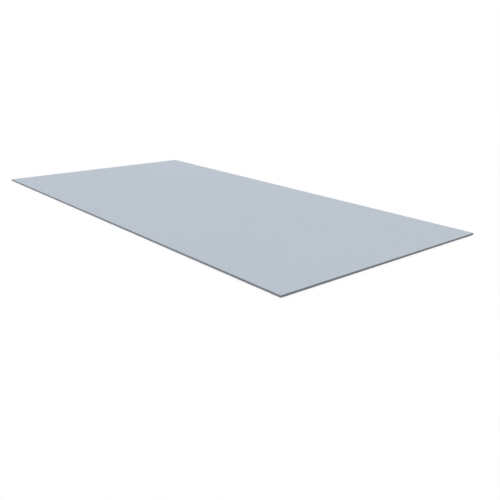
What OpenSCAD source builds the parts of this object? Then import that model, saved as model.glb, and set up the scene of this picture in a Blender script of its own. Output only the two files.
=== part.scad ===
// Fiber cement board: a flat pressed sheet, sawn square, with every edge lightly eased.
// It lies face up, with the origin on its underside at the middle.
// +X runs along its length, +Y across its width and +Z up through its thickness.

/* [Sheet] */
// Length of the board
board_l = 2440; // [600:10:3660]
// Width of the board
board_w = 1220; // [300:10:1530]
// Thickness of the board
board_t = 9; // [4:0.5:25]

/* [Eased edges] */
// Radius of the arris where a face meets a sawn side
arris_r = 1; // [0.3:0.1:1.8]
// Radius in plan of the corner where two sawn sides meet
corner_r = 2; // [2:0.1:12]

/* [Hidden] */
// Straight stretch of a long side, between its corners
side_run = board_l - 2 * corner_r;
// Straight stretch of an end, between its corners
end_run = board_w - 2 * corner_r;
// Colour of the smooth face
board_colour = [0.737, 0.773, 0.808];
// Facets of a full round where it is drawn as a mesh
$fn = 64;

// Half round that eases one arris
module arris() {
  intersection() {
    circle(r = arris_r);
    translate([0, -arris_r])
      square(2 * arris_r);
  }
}

// Section of the sheet from a line inside it out to a sawn side with two eased arrises
module edge_section(reach) {
  square([reach - arris_r, board_t]);
  translate([0, arris_r])
    square([reach, board_t - 2 * arris_r]);
  for (z = [arris_r, board_t - arris_r])
    translate([reach - arris_r, z])
      arris();
}

// Middle of the sheet, with the same section on both long sides
module middle() {
  rotate([90, 0, 90])
    linear_extrude(side_run, center = true)
      for (side = [0, 1])
        mirror([side, 0])
          edge_section(board_w / 2);
}

// Strip along the end at +X, between its two corners
module end_strip() {
  translate([board_l / 2 - corner_r, 0, 0])
    rotate([90, 0, 0])
      linear_extrude(end_run, center = true)
        edge_section(corner_r);
}

// Corner at +X and +Y, where the section turns from the side to the end
module corner() {
  translate([board_l / 2 - corner_r, board_w / 2 - corner_r, 0])
    rotate_extrude(angle = 90)
      edge_section(corner_r);
}

// The whole sheet, one solid: its middle, end strips and corners meet face to face
module fiber_cement_board() {
  color(board_colour) {
    middle();
    for (turn = [0, 180])
      rotate(turn) {
        end_strip();
        for (side = [0, 1])
          mirror([0, side, 0])
            corner();
      }
  }
}

fiber_cement_board();
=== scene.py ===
"""A fiber cement board lying on a pale floor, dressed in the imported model's frame, in metres."""

import math

import bpy
from mathutils import Matrix, Vector, noise


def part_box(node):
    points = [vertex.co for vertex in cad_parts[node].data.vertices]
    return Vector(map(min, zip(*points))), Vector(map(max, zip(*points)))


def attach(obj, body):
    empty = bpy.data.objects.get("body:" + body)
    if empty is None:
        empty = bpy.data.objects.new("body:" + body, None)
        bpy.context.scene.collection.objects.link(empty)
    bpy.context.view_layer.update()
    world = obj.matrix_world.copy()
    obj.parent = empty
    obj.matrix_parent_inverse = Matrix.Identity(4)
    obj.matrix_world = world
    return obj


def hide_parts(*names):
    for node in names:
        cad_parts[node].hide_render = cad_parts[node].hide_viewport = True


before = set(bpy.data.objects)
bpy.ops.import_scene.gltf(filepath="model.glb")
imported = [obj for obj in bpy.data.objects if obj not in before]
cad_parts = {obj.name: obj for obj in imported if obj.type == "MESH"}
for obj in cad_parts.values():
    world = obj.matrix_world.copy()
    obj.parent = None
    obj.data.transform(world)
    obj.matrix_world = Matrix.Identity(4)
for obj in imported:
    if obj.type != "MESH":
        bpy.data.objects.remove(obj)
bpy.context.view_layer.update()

# The board's own sizes, from the frame
NODE = "fiber_cement_board"
LOW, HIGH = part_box(NODE)
LENGTH, WIDTH, THICK = HIGH - LOW

# Eased edges, as in the solid
ARRIS = 0.001
CORNER = 0.002

# Mesh steps: face cells, columns in a cell's edge, and steps over an arris, a side and a corner
CELL = 0.020
COLUMNS_IN_CELL = 6
ARRIS_STEPS = 4
SIDE_STEPS = 20
CORNER_STEPS = 6

# Depth of the relief on the pressed faces and the sawn sides
FACE_SWELL = 0.00010
BACK_SWELL = 0.00015
SAW_WANDER = 0.00014
PLY_RELIEF = 0.00010

# Shares of the broad and the close waves in a face's swell
BROAD_SHARE = 0.55
CLOSE_SHARE = 0.30

# Wear of the arris, in shares of its radius, and the largest radius that it leaves
ARRIS_STRAY = 0.25
CHIP_DEPTH = 1.6
WORN_ARRIS = 0.0018

# Waves to a metre in the relief and the wear, and the level above which a wave makes a chip
BROAD_WAVES = 1.7
CLOSE_WAVES = 7.0
SAW_WAVES = 28
PLY_WAVES_ALONG = 9
PLY_WAVES_UP = 900
ARRIS_WAVES_SLOW = 11
ARRIS_WAVES_QUICK = 70
CHIP_WAVES = 43
CHIP_LEVEL = 0.45

# Seeds that keep one patch of noise apart from another
FACE_SEED = 0
BACK_SEED = 50
SAW_SEED = 3
UPPER_SEED = 21
LOWER_SEED = 43

# Plain colours, linear
FACE_LIGHT = (0.491, 0.554, 0.625)
FACE_SHADE = (0.417, 0.471, 0.530)
PALE_FIBRE = (0.620, 0.680, 0.740)
DARK_FIBRE = (0.330, 0.360, 0.395)
# Dark grey painted into pinholes as the shade inside them
PINHOLE_SHADE = (0.200, 0.218, 0.240)
EDGE_LIGHT = (0.480, 0.514, 0.574)
EDGE_SHADE = (0.241, 0.259, 0.291)
EDGE_FIBRE = (0.540, 0.575, 0.620)
# The dark of the ply seams, also painted into pits as the shade inside them
EDGE_SEAM_AND_PIT_SHADE = (0.130, 0.140, 0.155)
BACK_LIGHT = (0.540, 0.588, 0.640)
BACK_SHADE = (0.420, 0.458, 0.498)
WHITE = (1.0, 1.0, 1.0)

# Camera: where it stands, the way it looks in degrees, and its lens on a square 36 mm frame
EYE = (2.6092, -1.9521, 0.7934)
AZIMUTH = 49.14
ELEVATION = 17.96
ROLL = 0.88
SENSOR = 36.0
LENS = 44.33

# Light: a dome's strength overhead, at the horizon and from below, and a soft lamp, its angles in degrees
DOME_ZENITH = 0.90
DOME_HORIZON = 0.10
DOME_UNDER = 0.90
LAMP_POWER = 1.245
LAMP_SPREAD = 40
LAMP_AZIMUTH = 15
LAMP_ELEVATION = 68

# Floor: the grey that it bounces, its reach, where its shade fades to white, and its lap under the board
FLOOR_BOUNCE = (0.30, 0.30, 0.30)
FLOOR_REACH = 60.0
FLOOR_FADE = (3.5, 7.0)
FLOOR_LAP = 0.0015


# Mesh of the board

# Centres of the corner rounds, and whole cells and border steps between them
HALF_X = LENGTH / 2 - CORNER
HALF_Y = WIDTH / 2 - CORNER
CELLS_X = round(2 * HALF_X / CELL)
CELLS_Y = round(2 * HALF_Y / CELL)
STEPS_X = CELLS_X * COLUMNS_IN_CELL
STEPS_Y = CELLS_Y * COLUMNS_IN_CELL

# Numbers of the sides, anticlockwise from the end at +X as seen from above
SIDES = range(4)
RIGHT_END, FAR_SIDE, LEFT_END, NEAR_SIDE = SIDES
QUARTER_TURN = math.pi / 2

# Numbers of the board's materials
SMOOTH, SAWN, BACK = range(3)


def waver(x, y, waves, seed):
    """Noise over the board's plan, from about -1 to 1."""
    return noise.noise(Vector((x * waves, y * waves, seed)))


def as_share(wave):
    """A wave from about -1 to 1, as a share from about 0 to 1."""
    return 0.5 + 0.5 * wave


def swell(x, y, upper):
    """How far a pressed face lies in from its plane, in slow rises and falls."""
    depth, seed = (FACE_SWELL, FACE_SEED) if upper else (BACK_SWELL, BACK_SEED)
    broad = BROAD_SHARE * waver(x, y, BROAD_WAVES, seed)
    close = CLOSE_SHARE * waver(x, y, CLOSE_WAVES, seed)
    return depth * min(1, max(0, 0.5 + broad + close))


def saw_relief(x, y, z):
    """How far a sawn side stands in from its plane: the saw's wander and the plies of the sheet."""
    wander = waver(x, y, SAW_WAVES, SAW_SEED)
    ply = waver(x, y, PLY_WAVES_ALONG, z * PLY_WAVES_UP)
    return SAW_WANDER * as_share(wander) + PLY_RELIEF * as_share(ply)


def worn_arris(x, y, seed):
    """Radius of the eased arris at one place, which strays along the edge and grows at a chip."""
    stray = waver(x, y, ARRIS_WAVES_SLOW, seed) + waver(x, y, ARRIS_WAVES_QUICK, seed)
    chip = max(0.0, waver(x, y, CHIP_WAVES, -seed) - CHIP_LEVEL)
    return min(WORN_ARRIS, ARRIS * (1 + ARRIS_STRAY * stray + CHIP_DEPTH * chip))


def eased(radius, step):
    """Inset, rise and rub at one step over an arris, from its face to its side; the rub stands for wear and
    a painted highlight.
    """
    turn = QUARTER_TURN * step / ARRIS_STEPS
    return radius * (1 - math.sin(turn)), radius * (1 - math.cos(turn)), math.sin(2 * turn)


def section(x, y):
    """Edge section at one place, from the smooth face round to the back: inset, height, and rub that stands
    for wear and a painted highlight.
    """
    upper = worn_arris(x, y, UPPER_SEED)
    lower = worn_arris(x, y, LOWER_SEED)
    points = []
    for step in range(ARRIS_STEPS + 1):
        inset, rise, rub = eased(upper, step)
        points.append((inset, THICK - rise, rub))
    for step in range(1, SIDE_STEPS):
        down = step / SIDE_STEPS
        points.append((0.0, (THICK - upper) * (1 - down) + lower * down, 0.0))
    for step in range(ARRIS_STEPS, -1, -1):
        points.append(eased(lower, step))
    return points


def steps_between(start, end, whole=False):
    """Border steps from start up to the one before end, or start alone where the edge is whole."""
    run = max(abs(end[0] - start[0]), abs(end[1] - start[1]))
    way = ((end[0] - start[0]) // run, (end[1] - start[1]) // run)
    return [(start[0] + way[0] * i, start[1] + way[1] * i) for i in range(1 if whole else run)]


def place_of(step):
    """Plan position of a border step."""
    return Vector((HALF_X * (2 * step[0] / STEPS_X - 1), HALF_Y * (2 * step[1] / STEPS_Y - 1)))


def outline():
    """Columns round the board: the border step that each stands out from, its facing and its side."""
    corners = [(STEPS_X, 0), (STEPS_X, STEPS_Y), (0, STEPS_Y), (0, 0)]
    columns = []
    for side in SIDES:
        start, end = corners[side], corners[(side + 1) % 4]
        facing = side * QUARTER_TURN
        columns += [(step, facing, side) for step in steps_between(start, end)]
        for turn in range(CORNER_STEPS):
            columns.append((end, facing + QUARTER_TURN * turn / CORNER_STEPS, side))
    return columns


# Places on the map: both faces at one scale, above three rows of unrolled sides
MAP_GAP = 0.008
STRIP = 0.016
SIDE_ROWS = 3
SIDE_ROW = {FAR_SIDE: 0, NEAR_SIDE: 1, RIGHT_END: 2, LEFT_END: 2}
FACES_START = MAP_GAP + SIDE_ROWS * (STRIP + MAP_GAP)
MAP_SCALE = (1 - FACES_START - 2 * MAP_GAP) / (2 * WIDTH)
SECOND_END_START = 4 * MAP_GAP + WIDTH * MAP_SCALE


def face_place(x, y, upper):
    """Where a point of a face lies on the map."""
    base = FACES_START + (0 if upper else WIDTH * MAP_SCALE + MAP_GAP)
    return MAP_GAP + (x + LENGTH / 2) * MAP_SCALE, base + (y + WIDTH / 2) * MAP_SCALE


def side_place(side, run, down):
    """Where a point of a side lies on the map, by its run along the side and its share of the drop."""
    start = SECOND_END_START if side == LEFT_END else MAP_GAP
    base = MAP_GAP + SIDE_ROW[side] * (STRIP + MAP_GAP)
    return start + run * MAP_SCALE, base + (1 - down) * STRIP


class Sheet:
    """Gathers the board's vertices and faces, with each face's material and place on the map."""

    def __init__(self):
        self.vertices = []
        self.rub = []
        self.faces = []
        self.materials = []
        self.map = []
        self.seats = {}

    def vertex(self, x, y, z, rub=0.0):
        """A new vertex, and how much it is rubbed and lightened as a painted highlight."""
        self.vertices.append((x, y, z))
        self.rub.append(rub)
        return len(self.vertices) - 1

    def on_face(self, place, upper):
        """A new vertex on a pressed face."""
        inset = swell(*place, upper)
        return self.vertex(*place, THICK - inset if upper else inset)

    def seat(self, step, upper):
        """The vertex of a pressed face at one border step, made once."""
        key = (step, upper)
        if key not in self.seats:
            self.seats[key] = self.on_face(place_of(step), upper)
        return self.seats[key]

    def face(self, corners, material, places):
        """A new face, with its corners' places on the map."""
        self.faces.append(corners)
        self.materials.append(material)
        self.map.extend(places)

    def pressed(self, corners, upper):
        """A face of the smooth side or the back, its corners anticlockwise as seen from above."""
        loop = corners if upper else corners[::-1]
        places = [face_place(*self.vertices[corner][:2], upper) for corner in loop]
        self.face(loop, SMOOTH if upper else BACK, places)


def add_ring(sheet, step, facing):
    """The vertices of one column, from the smooth face round to the back, and its plan position."""
    core = place_of(step)
    out = Vector((math.cos(facing), math.sin(facing)))
    edge = core + out * CORNER
    ring = []
    for inset, z, rub in section(*edge):
        # The saw's relief fades out over the arris, and one face's swell fades into the other's
        sawn = max(0.0, 1 - inset / ARRIS) * (1 - rub)
        place = core + out * (CORNER - inset - sawn * saw_relief(*edge, z))
        lift = z / THICK
        height = z - lift * swell(*place, True) + (1 - lift) * swell(*place, False)
        ring.append(sheet.vertex(*place, height, rub))
    return ring, edge


def add_strip(sheet, here, ahead, side, start, end):
    """The sawn faces between two neighbouring rings of a side, from one run along it to another."""
    rows = len(here) - 1
    for row in range(rows):
        loop = (here[row], here[row + 1], ahead[row + 1], ahead[row])
        upper, lower = row / rows, (row + 1) / rows
        corners = ((start, upper), (start, lower), (end, lower), (end, upper))
        sheet.face(loop, SAWN, [side_place(side, *corner) for corner in corners])


def add_sides(sheet):
    """The four sawn sides with their arrises, and the narrow margin of each face beside them."""
    columns = outline()
    rings, edges = zip(*(add_ring(sheet, step, facing) for step, facing, _ in columns))
    run = 0.0
    for here in range(len(columns)):
        ahead = (here + 1) % len(columns)
        side = columns[here][2]
        if side != columns[here - 1][2]:
            run = 0.0
        width = (edges[ahead] - edges[here]).length
        add_strip(sheet, rings[here], rings[ahead], side, run, run + width)
        run += width
        for upper in (True, False):
            rim = 0 if upper else -1
            loop = [rings[here][rim], rings[ahead][rim]]
            # At a corner both columns stand out from one step, and the margin is a triangle
            for step in dict.fromkeys((columns[ahead][0], columns[here][0])):
                loop.append(sheet.seat(step, upper))
            sheet.pressed(loop, upper)


def add_face(sheet, upper):
    """One pressed face: square cells, with fans on the border that meet every column of the sides."""
    for x in range(CELLS_X):
        for y in range(CELLS_Y):
            west, south = x * COLUMNS_IN_CELL, y * COLUMNS_IN_CELL
            east, north = west + COLUMNS_IN_CELL, south + COLUMNS_IN_CELL
            corners = [(west, south), (east, south), (east, north), (west, north)]
            # An edge inside the face is whole, and one on the border has all its steps
            inside = [south > 0, east < STEPS_X, north < STEPS_Y, west > 0]
            steps = []
            for edge in range(4):
                steps += steps_between(corners[edge], corners[(edge + 1) % 4], inside[edge])
            loop = [sheet.seat(step, upper) for step in steps]
            if all(inside):
                sheet.pressed(loop, upper)
                continue
            middle = sheet.on_face((place_of(corners[0]) + place_of(corners[2])) / 2, upper)
            for first, second in zip(loop, loop[1:] + loop[:1]):
                sheet.pressed([middle, first, second], upper)


def board_mesh():
    """The whole sheet as one closed mesh."""
    sheet = Sheet()
    add_sides(sheet)
    add_face(sheet, True)
    add_face(sheet, False)
    mesh = bpy.data.meshes.new("board")
    mesh.from_pydata(sheet.vertices, [], sheet.faces)
    mesh.polygons.foreach_set("material_index", sheet.materials)
    # Each vertex's rub, which lightens the arris's colour as wear and as a painted highlight
    mesh.attributes.new("rub", "FLOAT", "POINT").data.foreach_set("value", sheet.rub)
    places = mesh.uv_layers.new(name="OFBake")
    places.uv.foreach_set("vector", [number for place in sheet.map for number in place])
    mesh.shade_smooth()
    mesh.validate()
    return mesh


# Materials

# Levels of a noise at a fibre's edge and along its middle, and how far a fibre bends
FIBRE_EDGE = 0.66
FIBRE_CORE = 0.74
FIBRE_BEND = 0.5

# Share of a speck that is at full strength
SPECK_CORE = 0.4

# How far the plies' noise is from its middle at the border of a seam
SEAM_EDGE = 0.03

# Levels of two crossed noises in the gaps and on the crowns of the felt's weave
WEAVE_GAP = 0.10
WEAVE_CROWN = 0.42


class Nodes:
    """Builds the nodes of a material or the world, from sockets and plain values alike."""

    def __init__(self, owner):
        owner.use_nodes = True
        self.tree = owner.node_tree

    def put(self, socket, value):
        """Links a socket, or sets it where the value is plain. A plain colour gets full alpha."""
        if isinstance(value, bpy.types.NodeSocket):
            self.tree.links.new(value, socket)
        elif hasattr(value, "__len__") and len(value) < len(socket.default_value):
            socket.default_value = (*value, 1.0)
        else:
            socket.default_value = value

    def add(self, kind, inputs=(), **settings):
        """A new node with its settings and inputs."""
        node = self.tree.nodes.new(kind)
        for name, value in settings.items():
            setattr(node, name, value)
        for key, value in dict(inputs).items():
            self.put(node.inputs[key], value)
        return node

    def math(self, operation, *values):
        """The result of one operation on numbers."""
        return self.add("ShaderNodeMath", enumerate(values), operation=operation).outputs[0]

    def ramp(self, value, none, full):
        """0 at the level of none and 1 at that of full, with a soft start and end."""
        inputs = {"Value": value, "From Min": none, "From Max": full}
        return self.add("ShaderNodeMapRange", inputs, interpolation_type="SMOOTHSTEP").outputs[0]

    def mix(self, share, first, second, kind="RGBA"):
        """The first colour or number where the share is 0, and the second where it is 1."""
        inputs = {"Factor": share, "A": first, "B": second}
        return self.add("ShaderNodeMix", inputs, data_type=kind).outputs["Result"]


class Look(Nodes):
    """One of the board's materials, in the board's own coordinates."""

    def __init__(self, name):
        self.material = bpy.data.materials.new(name)
        super().__init__(self.material)
        self.shader = self.tree.nodes["Principled BSDF"]
        self.place = self.add("ShaderNodeTexCoord").outputs["Object"]

    def stretched(self, per_metre, turn):
        """Coordinates turned about Z by degrees, scaled, and moved apart from other turns."""
        inputs = {"Vector": self.place, "Angle": math.radians(turn)}
        turned = self.add("ShaderNodeVectorRotate", inputs).outputs[0]
        inputs = {"Vector": turned, "Location": (turn, turn, turn), "Scale": per_metre}
        return self.add("ShaderNodeMapping", inputs).outputs[0]

    def noise(self, per_metre, turn=0, detail=2, rough=0.5, bend=0.0):
        """Noise with so many features to a metre along X, Y and Z."""
        inputs = {
            "Vector": self.stretched(per_metre, turn),
            "Scale": 1.0,
            "Detail": detail,
            "Roughness": rough,
            "Distortion": bend,
        }
        return self.add("ShaderNodeTexNoise", inputs).outputs["Fac"]

    def fibres(self, per_metre, turns):
        """Short thin fibres that lie at several angles, in degrees."""
        strongest = 0.0
        for turn in turns:
            layer = self.noise(per_metre, turn, detail=0, bend=FIBRE_BEND)
            strongest = self.math("MAXIMUM", layer, strongest)
        return self.ramp(strongest, FIBRE_EDGE, FIBRE_CORE)

    def specks(self, per_metre, size, share):
        """Round specks of a size in metres, in a share of cells."""
        cells = self.add("ShaderNodeTexVoronoi", {"Vector": self.place, "Scale": per_metre})
        reach = size * per_metre
        near = self.ramp(cells.outputs["Distance"], reach, reach * SPECK_CORE)
        pick = self.add("ShaderNodeSeparateColor", {"Color": cells.outputs["Color"]}).outputs["Red"]
        return self.math("MULTIPLY", near, self.math("LESS_THAN", pick, share))

    def layered(self, base, *layers):
        """base plus each layer's amount times how far it is from its middle, one half."""
        total = base - sum(amount / 2 for _, amount in layers)
        for layer, amount in layers:
            total = self.math("MULTIPLY_ADD", layer, amount, total)
        return total

    def tint(self, colour, mask, other, strength):
        """A colour with another laid over it at a strength, where the mask is."""
        return self.mix(self.math("MULTIPLY", mask, strength), colour, other)

    def finish(self, colour, roughness, height, depth):
        """The material, with its colour, its roughness and a bump of a depth in metres."""
        bump = self.add("ShaderNodeBump", {"Strength": 1.0, "Distance": depth, "Height": height})
        self.put(self.shader.inputs["Base Color"], colour)
        self.put(self.shader.inputs["Roughness"], roughness)
        self.put(self.shader.inputs["Normal"], bump.outputs[0])
        return self.material


def smooth_face():
    """The pressed face: faint clouds, lengthwise streaks, fine grain, short fibres, and pinholes darkened
    with painted shade.
    """
    look = Look("smooth_face")
    cloud = look.noise((1.6, 2.2, 1), detail=3, bend=0.4)
    streak = look.noise((4, 40, 1), detail=4, rough=0.6, bend=0.2)
    mottle = look.noise((30, 36, 1), detail=4, rough=0.6)
    blotch = look.noise((115, 125, 1))
    grain = look.noise((560, 600, 560), detail=3, rough=0.65)
    pale = look.fibres((70, 1500, 1), turns=(6, -24, 52, -71))
    dark = look.fibres((90, 1700, 1), turns=(-9, 33, 84))
    sand = look.specks(per_metre=900, size=0.00026, share=0.25)
    pins = look.specks(per_metre=70, size=0.0008, share=0.6)
    tone = look.layered(0.5, (cloud, 0.3), (streak, 0.4), (mottle, 0.8), (blotch, 0.9), (grain, 1.3))
    colour = look.mix(tone, FACE_SHADE, FACE_LIGHT)
    colour = look.tint(colour, pale, PALE_FIBRE, 0.45)
    colour = look.tint(colour, dark, DARK_FIBRE, 0.40)
    colour = look.tint(colour, sand, DARK_FIBRE, 0.30)
    # Pinholes darkened with painted shade
    colour = look.tint(colour, pins, PINHOLE_SHADE, 0.80)
    roughness = look.layered(0.66, (grain, 0.16), (mottle, 0.08))
    height = look.layered(0.5, (grain, 0.7), (blotch, 0.3), (pale, 0.4), (dark, 0.3), (pins, -1.6))
    return look.finish(colour, roughness, height, depth=0.00008)


def sawn_edge():
    """The sawn sides: plies with seams, grit, crumbs, cut fibres, saw marks, pits darkened with painted
    shade, and an arris lightened by rub and a painted highlight.
    """
    look = Look("sawn_edge")
    ply = look.noise((11, 11, 850), detail=3, rough=0.6, bend=0.4)
    from_middle = look.math("ABSOLUTE", look.math("SUBTRACT", ply, 0.5))
    seam = look.ramp(from_middle, SEAM_EDGE, 0.0)
    grit = look.noise((800, 800, 800), detail=3, rough=0.7)
    crumb = look.noise((300, 300, 380))
    saw = look.noise((520, 520, 26), bend=0.2)
    patch = look.noise((16, 16, 30), detail=3)
    cut = look.ramp(look.noise((190, 190, 1500), detail=1), FIBRE_EDGE, FIBRE_CORE)
    pits = look.specks(per_metre=300, size=0.0006, share=0.5)
    rub = look.add("ShaderNodeAttribute", attribute_name="rub").outputs["Fac"]
    tone = look.layered(0.5, (ply, 0.6), (grit, 1.2), (crumb, 0.8), (saw, 0.3), (patch, 0.35))
    colour = look.mix(tone, EDGE_SHADE, EDGE_LIGHT)
    colour = look.tint(colour, seam, EDGE_SEAM_AND_PIT_SHADE, 0.20)
    colour = look.tint(colour, cut, EDGE_FIBRE, 0.45)
    # Pits darkened with painted shade
    colour = look.tint(colour, pits, EDGE_SEAM_AND_PIT_SHADE, 0.70)
    # The arris turns towards the face's colour, partly as rubbed wear and partly as a painted highlight
    colour = look.tint(colour, rub, FACE_SHADE, 0.45)
    roughness = look.layered(0.90, (grit, 0.12))
    relief = (grit, 0.9), (crumb, 0.8), (ply, 0.6), (saw, 0.3), (seam, -0.3), (pits, -1.2)
    height = look.layered(0.5, *relief)
    return look.finish(colour, roughness, height, depth=0.00024)


def back_face():
    """The underside: clouded, with the fine imprint of the felt that carried the sheet, and pinholes
    darkened with painted shade.
    """
    look = Look("back_face")
    cloud = look.noise((2.5, 3.5, 1), detail=4, bend=0.4)
    mottle = look.noise((30, 44, 1), detail=4, rough=0.6)
    grain = look.noise((600, 600, 600), detail=3, rough=0.65)
    warp = look.noise((620, 140, 1), turn=3, detail=1)
    weft = look.noise((140, 620, 1), turn=3, detail=1)
    weave = look.ramp(look.math("MULTIPLY", warp, weft), WEAVE_GAP, WEAVE_CROWN)
    fibres = look.fibres((70, 1500, 1), turns=(-4, 27, -49, 76))
    pins = look.specks(per_metre=60, size=0.0009, share=0.6)
    tone = look.layered(0.5, (cloud, 0.3), (mottle, 0.35), (grain, 0.9), (weave, 0.4))
    colour = look.mix(tone, BACK_SHADE, BACK_LIGHT)
    colour = look.tint(colour, fibres, PALE_FIBRE, 0.35)
    # Pinholes darkened with painted shade
    colour = look.tint(colour, pins, PINHOLE_SHADE, 0.70)
    roughness = look.layered(0.86, (weave, 0.10))
    height = look.layered(0.5, (weave, 0.9), (grain, 0.5), (fibres, 0.3), (pins, -1.2))
    return look.finish(colour, roughness, height, depth=0.00012)


# The board


def add_object(name, data):
    """A new object in the scene."""
    made = bpy.data.objects.new(name, data)
    bpy.context.scene.collection.objects.link(made)
    return made


board = add_object("board", board_mesh())
for material in (smooth_face(), sawn_edge(), back_face()):
    board.data.materials.append(material)
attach(board, "root")
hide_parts(NODE)


# Floor, light and camera


class Surround(Nodes):
    """The shaders of the floor or the world, from an empty tree."""

    def __init__(self, owner):
        super().__init__(owner)
        self.tree.nodes.clear()

    def seen(self):
        """1 on rays that show a thing, in gloss and glass too, and 0 on those that only carry its light."""
        rays = self.add("ShaderNodeLightPath").outputs
        indirect = self.math("MAXIMUM", rays["Is Glossy Ray"], rays["Is Transmission Ray"])
        return self.math("MAXIMUM", rays["Is Camera Ray"], indirect)

    def shader(self, kind, **inputs):
        """A shader of one kind."""
        return self.add(kind, inputs).outputs[0]

    def mix_shaders(self, share, first, second):
        """The first shader where the share is 0, and the second where it is 1."""
        return self.add("ShaderNodeMixShader", enumerate((share, first, second))).outputs[0]


def floor_material():
    """White where it shows, grey where it only bounces light, and clear from below."""
    material = bpy.data.materials.new("pale_floor")
    ground = Surround(material)
    place = ground.add("ShaderNodeTexCoord").outputs["Object"]
    reach = ground.add("ShaderNodeVectorMath", {"Vector": place}, operation="LENGTH").outputs["Value"]
    shaded = ground.shader("ShaderNodeBsdfDiffuse", Color=WHITE)
    plain = ground.shader("ShaderNodeEmission", Color=WHITE)
    shown = ground.mix_shaders(ground.ramp(reach, *FLOOR_FADE), shaded, plain)
    bounce = ground.shader("ShaderNodeBsdfDiffuse", Color=FLOOR_BOUNCE)
    above = ground.mix_shaders(ground.seen(), bounce, shown)
    clear = ground.shader("ShaderNodeBsdfTransparent", Color=WHITE)
    below = ground.add("ShaderNodeNewGeometry").outputs["Backfacing"]
    ground.add("ShaderNodeOutputMaterial", {"Surface": ground.mix_shaders(below, above, clear)})
    return material


def add_floor():
    """A wide floor that laps under the board's border and leaves the rest of its back open to view."""
    outer = Vector((FLOOR_REACH, FLOOR_REACH))
    inner = Vector((LENGTH / 2 - FLOOR_LAP, WIDTH / 2 - FLOOR_LAP))
    signs = [(-1, -1), (1, -1), (1, 1), (-1, 1)]
    points = [(x * reach.x, y * reach.y, LOW.z) for reach in (outer, inner) for x, y in signs]
    faces = [(i, (i + 1) % 4, 4 + (i + 1) % 4, 4 + i) for i in range(4)]
    mesh = bpy.data.meshes.new("floor")
    mesh.from_pydata(points, [], faces)
    mesh.materials.append(floor_material())
    add_object("floor", mesh)


def light_world():
    """A dome that is brighter overhead, and a white background where it shows."""
    world = bpy.data.worlds.new("studio")
    bpy.context.scene.world = world
    sky = Surround(world)
    way = sky.add("ShaderNodeTexCoord").outputs["Generated"]
    height = sky.add("ShaderNodeSeparateXYZ", {"Vector": way}).outputs["Z"]
    upper = sky.mix(height, DOME_HORIZON, DOME_ZENITH, kind="FLOAT")
    under = sky.math("LESS_THAN", height, 0.0)
    strength = sky.mix(under, upper, DOME_UNDER, kind="FLOAT")
    dome = sky.shader("ShaderNodeBackground", Color=WHITE, Strength=strength)
    shown = sky.shader("ShaderNodeBackground", Color=WHITE)
    surface = sky.mix_shaders(sky.seen(), dome, shown)
    sky.add("ShaderNodeOutputWorld", {"Surface": surface})


def turned(azimuth, elevation, roll=0.0):
    """Rotation of a camera or lamp that stands at an azimuth and elevation and looks inwards."""
    about_z = Matrix.Rotation(math.radians(azimuth), 3, "Z")
    tip = Matrix.Rotation(math.radians(90 - elevation), 3, "X")
    return (about_z @ tip @ Matrix.Rotation(math.radians(roll), 3, "Z")).to_euler()


def add_lamp():
    """One soft lamp, high and a little to the side."""
    lamp = bpy.data.lights.new("soft_lamp", "SUN")
    lamp.energy = LAMP_POWER
    lamp.angle = math.radians(LAMP_SPREAD)
    add_object("soft_lamp", lamp).rotation_euler = turned(LAMP_AZIMUTH, LAMP_ELEVATION)


def add_camera():
    """The camera at the photograph's viewing angle."""
    camera = bpy.data.cameras.new("camera")
    camera.sensor_width = SENSOR
    camera.lens = LENS
    camera.clip_end = 2 * FLOOR_REACH
    holder = add_object("camera", camera)
    holder.location = EYE
    holder.rotation_euler = turned(AZIMUTH, ELEVATION, ROLL)
    bpy.context.scene.camera = holder


add_floor()
light_world()
add_lamp()
add_camera()
bpy.context.scene.view_settings.view_transform = "Standard"
